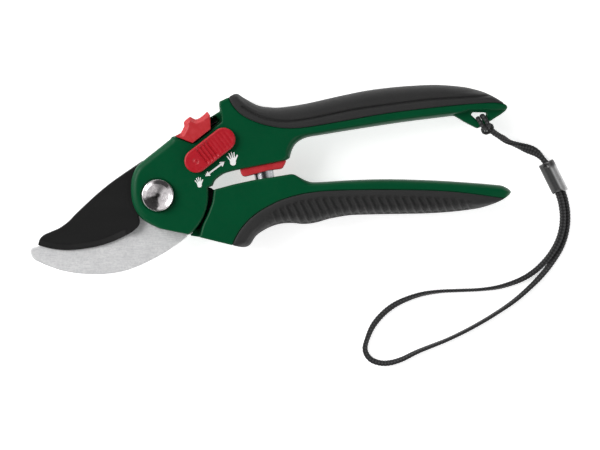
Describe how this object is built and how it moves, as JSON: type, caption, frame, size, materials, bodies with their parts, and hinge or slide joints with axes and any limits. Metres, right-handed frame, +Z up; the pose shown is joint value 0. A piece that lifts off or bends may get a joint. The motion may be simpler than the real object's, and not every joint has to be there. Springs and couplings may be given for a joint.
{
  "type": "bypass pruner",
  "caption": "One-hand bypass pruner: hooked counter blade, coated cutting blade, soft-grip handles, thumb lock, opening-width slider and a wrist lanyard.",
  "frame": {"origin": "centre of the closed pruner's footprint, without its lanyard, on the surface it lies on", "axes": "+X from the blades to the handle ends, +Y from the lower handle to the upper handle, +Z up from the nut side to the bolt-head side"},
  "size_m": [0.2347, 0.1223, 0.0208],
  "materials": {
    "green_body": "dark green satin",
    "soft_grip": "matte black soft grip",
    "coated_blade": "black low-friction coating",
    "bare_steel": "satin ground steel",
    "chrome": "polished",
    "zinc_steel": "zinc plated",
    "spring_steel": "polished spring steel",
    "red_plastic": "red moulded plastic",
    "bronze": "plain bearing bronze",
    "cord": "black flat braid",
    "crimp_metal": "dark brushed metal"
  },
  "bodies": {
    "upper_arm": {"upper_handle": "green_body", "upper_grip": "soft_grip", "counter_blade": "bare_steel", "counter_blade_rivet_1": "zinc_steel", "counter_blade_rivet_2": "zinc_steel", "pivot_bolt": "chrome", "pivot_nut": "chrome", "nut_washer": "zinc_steel", "pivot_bush": "bronze", "thrust_washer": "bronze", "spring_seat": "red_plastic", "main_spring": "spring_steel", "lock_detent_spring": "spring_steel", "width_detent_spring": "spring_steel", "lanyard_hitch": "cord", "lanyard_neck": "cord", "lanyard_crimp": "crimp_metal", "lanyard_loop": "cord"},
    "lower_arm": {"lower_handle": "green_body", "lower_grip": "soft_grip", "cutting_blade": "coated_blade", "cutting_blade_rivet_1": "zinc_steel", "cutting_blade_rivet_2": "zinc_steel"},
    "lock": {"lock_slider": "red_plastic"},
    "width_adjuster": {"width_slider": "red_plastic", "width_stop": "zinc_steel", "width_screw": "zinc_steel"}
  },
  "joints": [
    {"name": "handle_hinge", "type": "hinge", "parent": "upper_arm", "child": "lower_arm", "pos_m": [-0.0492, -0.007, 0.011], "axis": [0, 0, -1], "range_deg": [0, 33], "deforming": ["main_spring"]},
    {"name": "lock_slide", "type": "slide", "parent": "upper_arm", "child": "lock", "axis": [0.788, 0.6157, 0], "range_m": [0, 0.0045]},
    {"name": "width_slide", "type": "slide", "parent": "upper_arm", "child": "width_adjuster", "axis": [-0.788, -0.6157, 0], "range_m": [0, 0.0062]}
  ]
}
